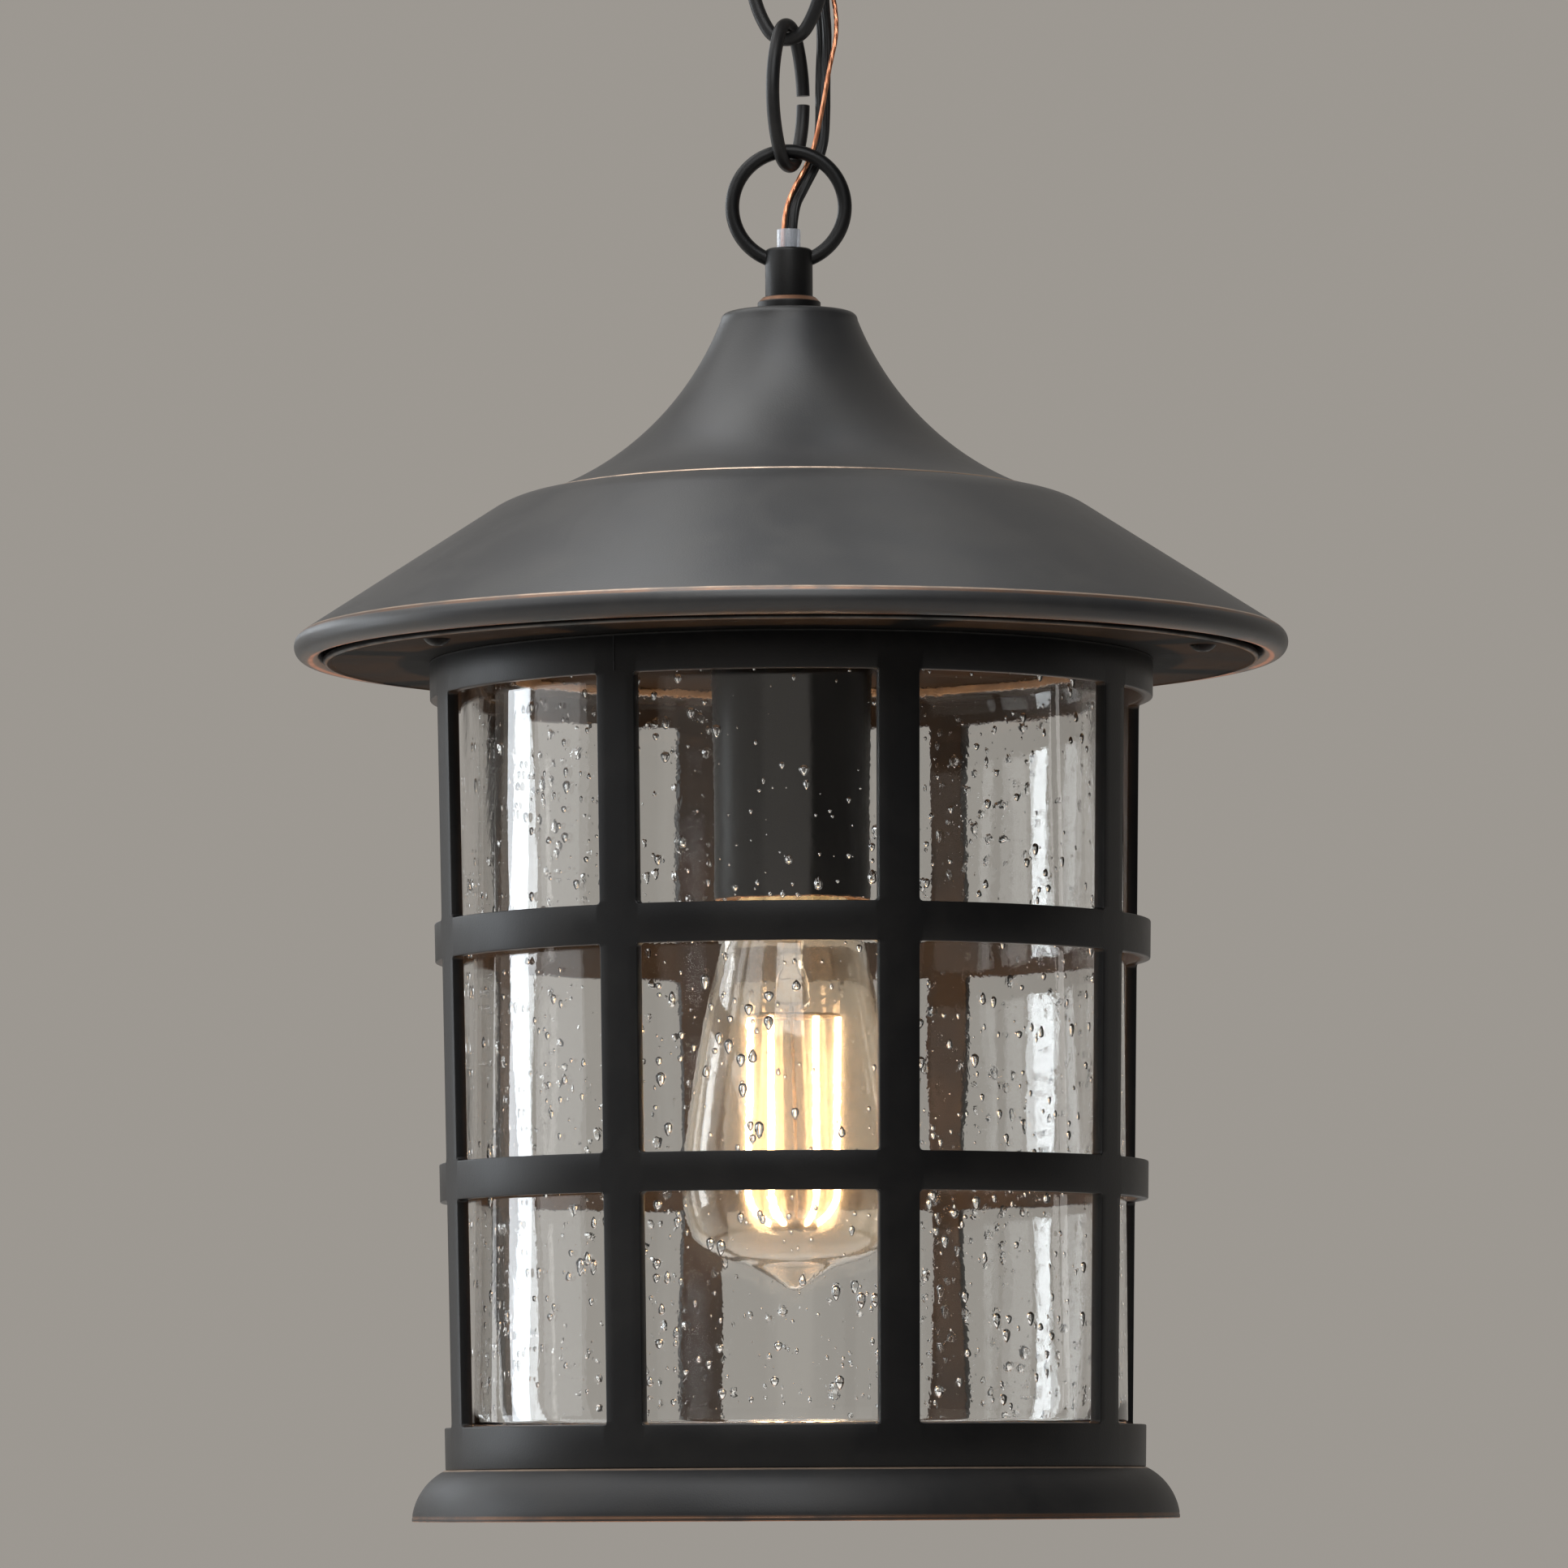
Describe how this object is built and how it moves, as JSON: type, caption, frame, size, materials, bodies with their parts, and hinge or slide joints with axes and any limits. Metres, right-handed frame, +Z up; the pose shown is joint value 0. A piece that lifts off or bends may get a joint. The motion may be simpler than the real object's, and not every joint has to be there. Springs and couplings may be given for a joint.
{
  "type": "outdoor hanging lantern",
  "caption": "Porch lantern that hangs from a ceiling canopy by chain links: flared round roof, barred cylindrical cage over a clear glass tube, flared base and a screw-in filament lamp.",
  "frame": {"origin": "centre of the canopy's rim, on the ceiling plane", "axes": "+Z up, out of the ceiling side; the lantern hangs along -Z; its front, the picture's side, faces -Y"},
  "size_m": [0.254, 0.254, 0.4791],
  "materials": {
    "bronze": "dark oil-rubbed bronze with copper showing at the edges",
    "dark_screws": "blackened round heads",
    "green_screw": "green ground screw",
    "zinc_steel": "zinc-plated steel",
    "support_wire": "bright wire",
    "clear_sleeve": "clear flexible sleeve",
    "seeded_glass": "clear glass with small bubbles",
    "rubber": "black soft ring",
    "porcelain": "white glazed porcelain",
    "brass": "thin rolled brass",
    "black_glass": "black vitrite",
    "tin": "soldered contact",
    "bulb_glass": "clear thin bulb glass",
    "filament": "warm lit filament",
    "black_wire": "black insulated wire",
    "bare_copper": "bare copper wire"
  },
  "bodies": {
    "ceiling": {"mounting_strap": "zinc_steel", "ground_screw": "green_screw", "canopy": "bronze", "canopy_nipple": "zinc_steel", "canopy_lock_nut": "zinc_steel", "canopy_collar": "bronze", "canopy_loop_stem": "bronze", "canopy_loop_ring": "bronze"},
    "upper_link": {"upper_link": "bronze", "line_wire_top": "black_wire", "neutral_wire_top": "black_wire", "ground_wire_top": "bare_copper"},
    "lower_link": {"lower_link": "bronze", "line_wire_mid": "black_wire", "neutral_wire_mid": "black_wire", "ground_wire_mid": "bare_copper"},
    "lantern": {"loop_collar": "bronze", "loop_stem": "bronze", "loop_ring": "bronze", "roof": "bronze", "soffit_plate": "bronze", "cage": "bronze", "base_ring": "bronze", "socket_cover": "bronze", "soffit_screws": "dark_screws", "roof_nipple": "zinc_steel", "roof_washer": "zinc_steel", "roof_nut": "zinc_steel", "socket_nut": "zinc_steel", "wire_sleeve": "clear_sleeve", "glass_tube": "seeded_glass", "glass_gasket": "rubber", "glass_pad": "rubber", "socket_body": "porcelain", "socket_shell": "brass", "socket_contact": "brass", "line_wire_low": "black_wire", "neutral_wire_low": "black_wire", "ground_wire_low": "bare_copper"},
    "bulb": {"bulb_cap": "brass", "bulb_insulator": "black_glass", "bulb_contact": "tin", "bulb_glass": "bulb_glass", "bulb_stem": "bulb_glass", "bulb_filaments": "filament", "filament_supports": "support_wire"}
  },
  "joints": [
    {"name": "canopy_swing", "type": "hinge", "parent": "ceiling", "child": "upper_link", "pos_m": [0, 0, -0.06695], "axis": [0.3907, 0.9205, 0], "range_deg": [-30, 30], "deforming": ["line_wire_top", "neutral_wire_top", "ground_wire_top"]},
    {"name": "chain_swing", "type": "hinge", "parent": "upper_link", "child": "lower_link", "pos_m": [0, 0, -0.09967], "axis": [0.9205, -0.3907, 0], "range_deg": [-30, 30], "deforming": ["line_wire_mid", "neutral_wire_mid", "ground_wire_mid"]},
    {"name": "lantern_swing", "type": "hinge", "parent": "lower_link", "child": "lantern", "pos_m": [0, 0, -0.13248], "axis": [0.3907, 0.9205, 0], "range_deg": [-30, 30], "deforming": ["line_wire_low", "neutral_wire_low", "ground_wire_low"]},
    {"name": "lamp_turn", "type": "hinge", "parent": "lantern", "child": "bulb", "pos_m": [0, 0, -0.3206], "axis": [0, 0, -1], "range_deg": [0, 1530]}
  ]
}
